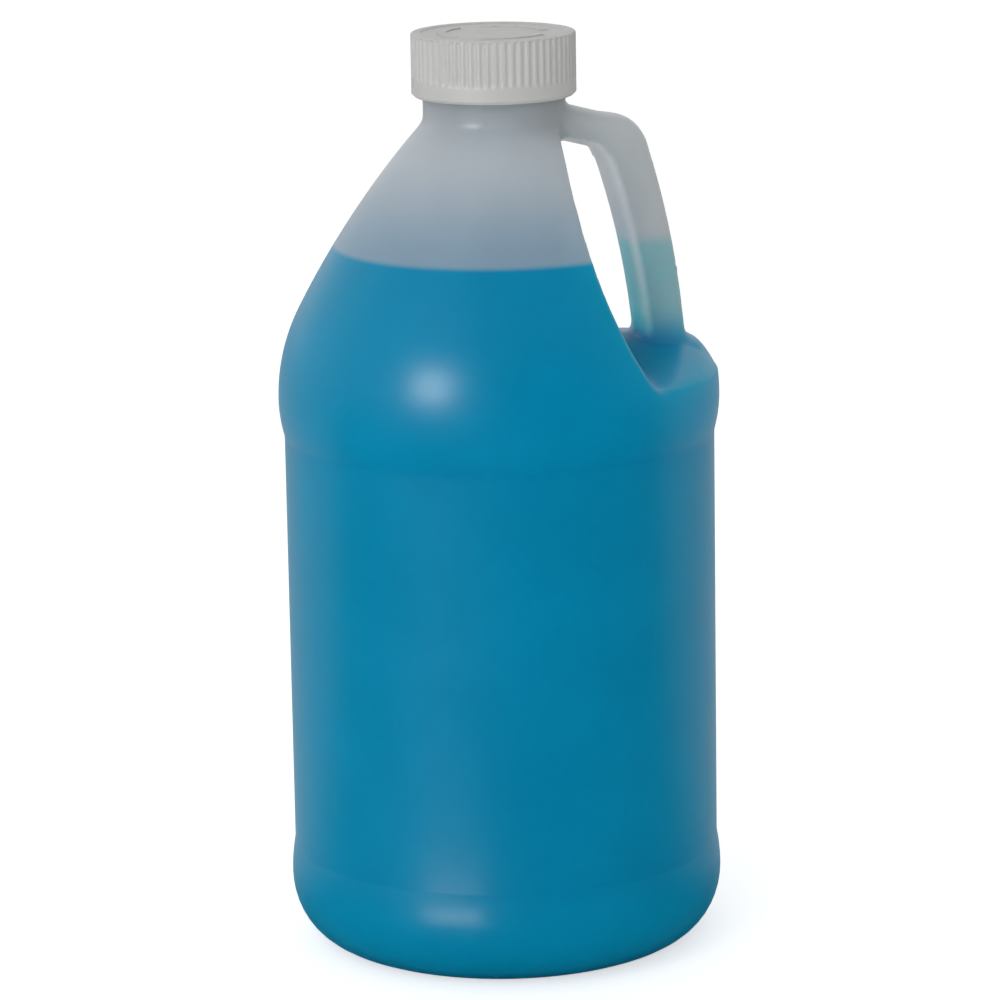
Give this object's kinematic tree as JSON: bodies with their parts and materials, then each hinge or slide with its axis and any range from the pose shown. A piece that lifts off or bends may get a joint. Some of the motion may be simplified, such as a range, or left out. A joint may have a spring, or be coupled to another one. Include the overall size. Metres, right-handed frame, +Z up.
{
  "type": "half-gallon plastic jug",
  "caption": "Round blow-moulded plastic jug with a hollow moulded handle, filled with blue liquid, closed by a ribbed push-and-turn screw cap over an inner cap and a sealing liner.",
  "frame": {"origin": "centre of the base, on the surface that the jug stands on", "axes": "+Z up along the neck, +X towards the handle, +Y to the handle's left as seen from outside it"},
  "size_m": [0.1212, 0.1212, 0.2531],
  "materials": {
    "natural_hdpe": "satin translucent moulded",
    "blue_liquid": "clear dyed liquid",
    "liner_foam": "matte foam",
    "inner_cap_white": "satin moulded",
    "cap_white": "satin moulded"
  },
  "bodies": {
    "jug": {"bottle": "natural_hdpe", "liquid": "blue_liquid"},
    "seal": {"liner": "liner_foam"},
    "screw_cap": {"inner_cap": "inner_cap_white"},
    "outer_cap": {"cap_shell": "cap_white"}
  },
  "joints": [
    {"name": "cap_lift", "type": "slide", "parent": "jug", "child": "seal", "axis": [0, 0, 1], "range_m": [0, 0.02541]},
    {"name": "cap_turn", "type": "hinge", "parent": "seal", "child": "screw_cap", "pos_m": [0, 0, 0.2474], "axis": [0, 0, 1], "range_deg": [0, 2160]},
    {"name": "cap_push", "type": "slide", "parent": "screw_cap", "child": "outer_cap", "axis": [0, 0, -1], "range_m": [0, 0.001], "stiffness_N_per_m": 6000}
  ],
  "couplings": [
    {"joint": "cap_lift", "follows": "cap_turn", "m_per_rad": 0.00067376}
  ]
}
